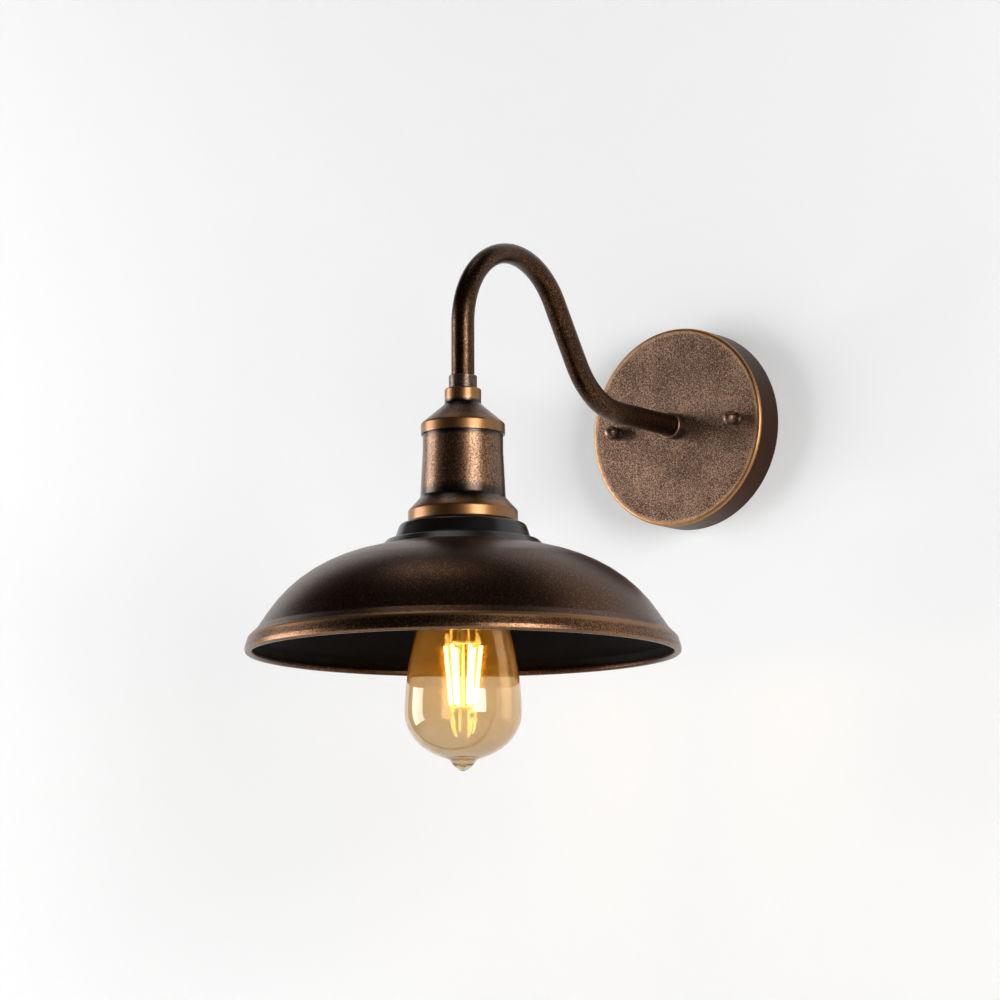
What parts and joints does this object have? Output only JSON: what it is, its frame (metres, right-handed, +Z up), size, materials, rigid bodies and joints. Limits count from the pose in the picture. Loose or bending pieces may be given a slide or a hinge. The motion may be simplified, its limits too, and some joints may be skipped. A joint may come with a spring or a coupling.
{
  "type": "gooseneck wall sconce",
  "caption": "Wall light with a round canopy, a gooseneck tube that rises and turns down, a bell socket cup and a shallow dome shade over a clear amber filament bulb.",
  "frame": {"origin": "centre of the canopy on the wall's face", "axes": "the wall is the plane Y = 0 and the arm reaches towards -Y, +Z is up, +X is to the right for someone who faces the wall"},
  "size_m": [0.238, 0.351, 0.3017],
  "materials": {
    "bronze_dark": "antique rubbed bronze, satin, with a faint copper speckle",
    "bronze_worn": "the same bronze rubbed brighter by wear",
    "zinc_steel": "zinc plated",
    "tinned_copper": "tin plated",
    "green_screw": "green zinc",
    "brass": "plain brass",
    "phenolic": "moulded black phenolic",
    "nylon": "black nylon",
    "porcelain": "glazed white porcelain",
    "green_insulation": "green wire insulation",
    "black_insulation": "black wire insulation",
    "white_insulation": "white wire insulation",
    "connector_orange": "moulded orange plastic",
    "driver_board": "green circuit board",
    "cap_glass": "black cap glass",
    "amber_glass": "clear amber tinted glass",
    "stem_glass": "clear glass",
    "nickel_wire": "nickel wire",
    "filament_phosphor": "yellow phosphor on a light emitting filament"
  },
  "bodies": {
    "root": {"arm_base_collar": "bronze_worn", "arm_base_nipple": "zinc_steel", "arm_earth_tag": "tinned_copper", "arm_end_ferrule": "bronze_worn", "arm_lock_nut": "zinc_steel", "arm_lock_washer": "zinc_steel", "arm_tube": "bronze_dark", "canopy": "bronze_dark", "canopy_studs": "zinc_steel", "cap_lock_nut": "zinc_steel", "centre_contact": "brass", "contact_rivets": "brass", "cup_nipple": "zinc_steel", "earth_wire": "green_insulation", "ground_lug": "tinned_copper", "ground_screw": "green_screw", "holder_dome": "phenolic", "holder_insert": "porcelain", "holder_set_screw": "zinc_steel", "holder_skirt": "phenolic", "live_wire": "black_insulation", "mounting_bracket": "zinc_steel", "neutral_wire": "white_insulation", "nipple_bushing": "nylon", "screw_shell": "brass", "shade": "bronze_dark", "shade_ring": "phenolic", "socket_cap": "bronze_dark", "socket_sleeve": "bronze_dark", "stud_lock_nuts": "zinc_steel", "terminal_pillars": "brass", "terminal_screws": "zinc_steel", "wire_bushing": "nylon", "wire_connectors": "connector_orange"},
    "bulb_contact": {"bulb_eyelet": "brass"},
    "bulb": {"bulb_cap": "brass", "bulb_driver": "driver_board", "bulb_glass": "amber_glass", "bulb_insulator": "cap_glass", "bulb_stem": "stem_glass", "filament_frame": "nickel_wire", "filaments": "filament_phosphor"},
    "nut_left": {"cap_nut_left": "bronze_worn"},
    "nut_right": {"cap_nut_right": "bronze_worn"}
  },
  "joints": [
    {"name": "bulb_travel", "type": "slide", "parent": "root", "child": "bulb_contact", "axis": [0, 0, -1], "range_m": [0, 0.01815]},
    {"name": "bulb_turn", "type": "hinge", "parent": "bulb_contact", "child": "bulb", "pos_m": [0, -0.232, 0], "axis": [0, 0, -1], "range_deg": [0, 1800]},
    {"name": "cap_nut_left_off", "type": "slide", "parent": "root", "child": "nut_left", "axis": [0, -1, 0], "range_m": [0, 0.01]},
    {"name": "cap_nut_right_off", "type": "slide", "parent": "root", "child": "nut_right", "axis": [0, -1, 0], "range_m": [0, 0.01]}
  ],
  "couplings": [
    {"joint": "bulb_travel", "follows": "bulb_turn", "m_per_rad": 0.00057757}
  ]
}
